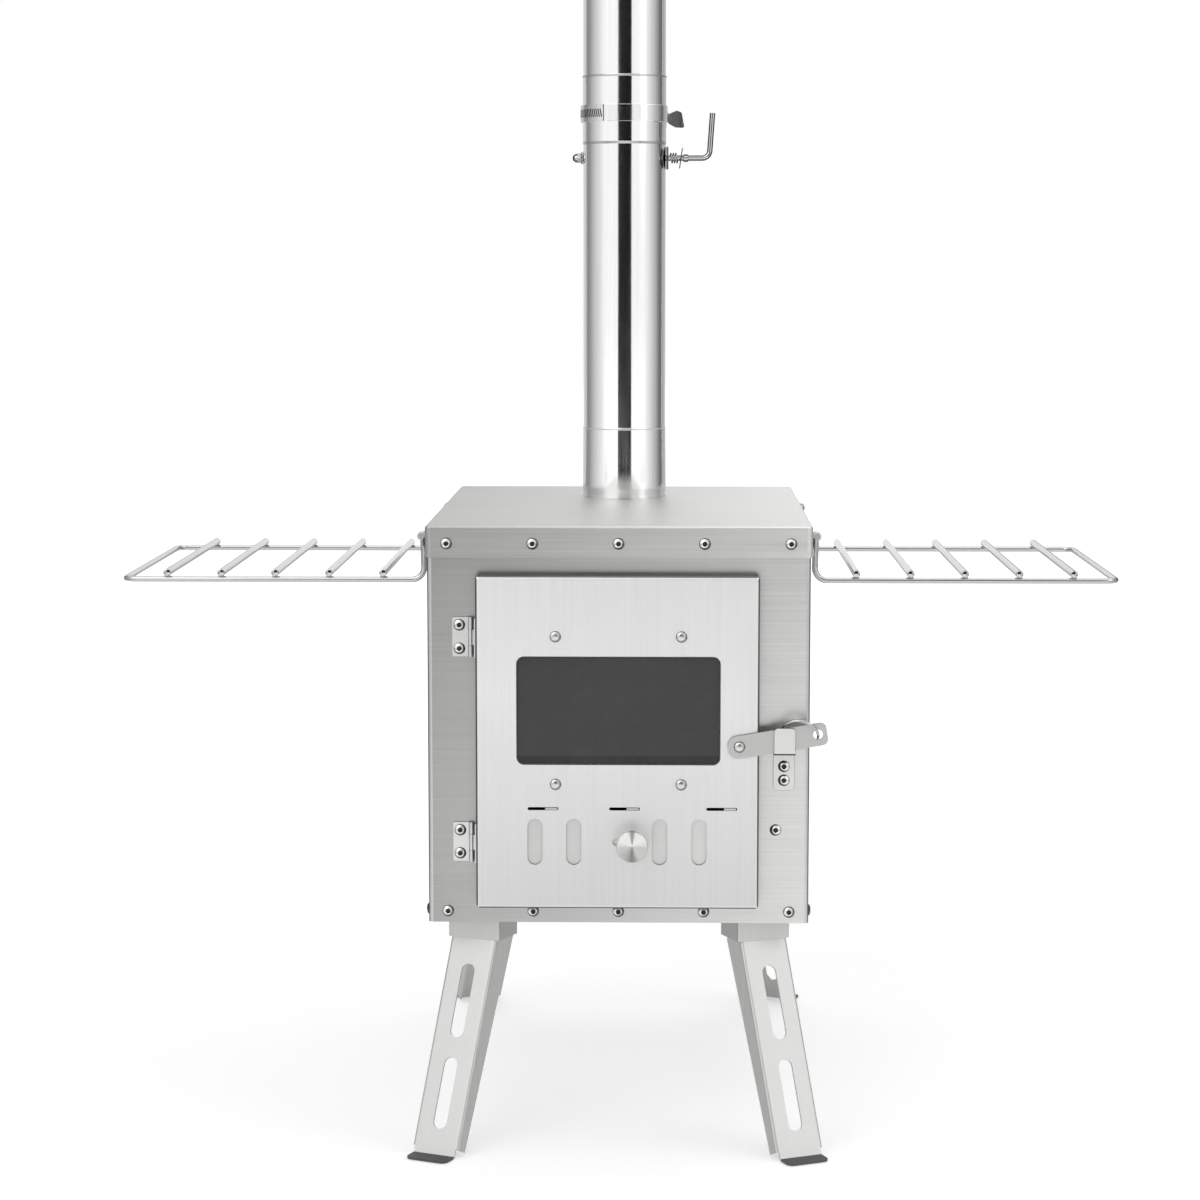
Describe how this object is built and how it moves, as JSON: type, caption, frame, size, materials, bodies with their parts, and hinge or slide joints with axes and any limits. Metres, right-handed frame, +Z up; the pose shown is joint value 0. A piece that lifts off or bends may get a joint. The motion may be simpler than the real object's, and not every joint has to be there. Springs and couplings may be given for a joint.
{
  "type": "tent wood stove",
  "caption": "Folding sheet-steel tent stove with glazed latched door, air slide, flue pipe with damper, and fold-down legs and side racks.",
  "frame": {"origin": "on the ground, under the middle of the whole stove's box, which is the middle of the firebox", "axes": "+Z up along the flue, the door faces -Y, +X to the right seen from the front"},
  "size_m": [0.659, 0.463, 1.0392],
  "materials": {
    "body_steel": "fine horizontal brush, satin",
    "plate_steel": "satin cooking surface",
    "door_steel": "pale fine brush, satin",
    "leg_steel": "pale pickled sheet, satin",
    "pipe_steel": "bright rolled stainless tube",
    "wire_steel": "polished wire",
    "rivet_steel": "bright rivet",
    "fitting_steel": "satin pressed fittings",
    "dark_fitting": "dark washer",
    "knob_metal": "turned face with fine circular marks",
    "grate_iron": "dull heat-toned sheet",
    "window_glass": "smoked heat-proof glass",
    "gasket": "woven glass-fibre tape"
  },
  "bodies": {
    "firebox": {"top_plate": "plate_steel", "front_frame": "body_steel", "back_panel": "body_steel", "side_panel_left": "body_steel", "side_panel_right": "body_steel", "base_pan": "body_steel", "rim_rivets": "rivet_steel", "base_rivets": "rivet_steel", "fire_grate": "grate_iron", "flue_collar": "pipe_steel", "damper_pipe": "pipe_steel", "clamp_band": "fitting_steel", "upper_pipe": "pipe_steel", "cap_screen": "pipe_steel", "cap_hat": "pipe_steel", "hinge_frame_leaves": "fitting_steel", "hinge_pins": "rivet_steel", "hinge_rivets": "rivet_steel", "latch_catch": "fitting_steel", "catch_rivets": "rivet_steel", "leg_brackets": "leg_steel", "leg_pins": "rivet_steel", "rack_brackets": "fitting_steel", "rack_rivets": "rivet_steel"},
    "door": {"door_panel": "door_steel", "window_glass": "window_glass", "window_gasket": "gasket", "window_retainer": "body_steel", "window_rivets": "rivet_steel", "hinge_door_leaves": "fitting_steel", "latch_rivet": "rivet_steel"},
    "air_slide": {"air_plate": "fitting_steel", "air_knob": "knob_metal", "knob_screw": "rivet_steel"},
    "latch": {"latch_bar": "fitting_steel"},
    "pull_ring": {"latch_ring": "wire_steel"},
    "damper": {"damper_rod": "wire_steel", "damper_disc": "grate_iron", "damper_spring": "wire_steel", "damper_washers": "dark_fitting", "damper_nut": "rivet_steel"},
    "clamp_key": {"clamp_screw": "fitting_steel"},
    "front_left_leg": {"leg_front_left": "leg_steel"},
    "front_right_leg": {"leg_front_right": "leg_steel"},
    "rear_left_leg": {"leg_rear_left": "leg_steel"},
    "rear_right_leg": {"leg_rear_right": "leg_steel"},
    "left_rack": {"rack_frame_left": "wire_steel", "rack_rods_left": "wire_steel"},
    "right_rack": {"rack_frame_right": "wire_steel", "rack_rods_right": "wire_steel"}
  },
  "joints": [
    {"name": "door_swing", "type": "hinge", "parent": "firebox", "child": "door", "pos_m": [-0.0963, -0.177, 0.2683], "axis": [0, 0, -1], "range_deg": [0, 95]},
    {"name": "air_slide_travel", "type": "slide", "parent": "door", "child": "air_slide", "axis": [-1, 0, 0], "range_m": [0, 0.0106]},
    {"name": "latch_lift", "type": "hinge", "parent": "door", "child": "latch", "pos_m": [0.0788, -0.1882, 0.2664], "axis": [0, -1, 0], "range_deg": [0, 38]},
    {"name": "ring_swing", "type": "hinge", "parent": "latch", "child": "pull_ring", "pos_m": [0.12971, -0.1882, 0.27483], "axis": [0.953, 0, -0.303], "range_deg": [0, 7]},
    {"name": "damper_turn", "type": "hinge", "parent": "firebox", "child": "damper", "pos_m": [0, 0.085, 0.6543], "axis": [1, 0, 0], "continuous": true},
    {"name": "clamp_key_turn", "type": "hinge", "parent": "firebox", "child": "clamp_key", "pos_m": [0, 0.12095, 0.6857], "axis": [1, 0, 0], "continuous": true},
    {"name": "front_left_leg_fold", "type": "hinge", "parent": "firebox", "child": "front_left_leg", "pos_m": [-0.0905, -0.1497, 0.135], "axis": [0.9135, -0.4067, 0], "range_deg": [0, 113.5]},
    {"name": "front_right_leg_fold", "type": "hinge", "parent": "firebox", "child": "front_right_leg", "pos_m": [0.0905, -0.1497, 0.135], "axis": [0.9135, 0.4067, 0], "range_deg": [0, 113.5]},
    {"name": "rear_left_leg_fold", "type": "hinge", "parent": "firebox", "child": "rear_left_leg", "pos_m": [-0.0905, 0.1497, 0.135], "axis": [-0.9135, -0.4067, 0], "range_deg": [0, 113.5]},
    {"name": "rear_right_leg_fold", "type": "hinge", "parent": "firebox", "child": "rear_right_leg", "pos_m": [0.0905, 0.1497, 0.135], "axis": [-0.9135, 0.4067, 0], "range_deg": [0, 113.5]},
    {"name": "left_rack_fold", "type": "hinge", "parent": "firebox", "child": "left_rack", "pos_m": [-0.1295, 0, 0.401], "axis": [0, 1, 0], "range_deg": [0, 105]},
    {"name": "right_rack_fold", "type": "hinge", "parent": "firebox", "child": "right_rack", "pos_m": [0.1295, 0, 0.401], "axis": [0, -1, 0], "range_deg": [0, 105]}
  ]
}
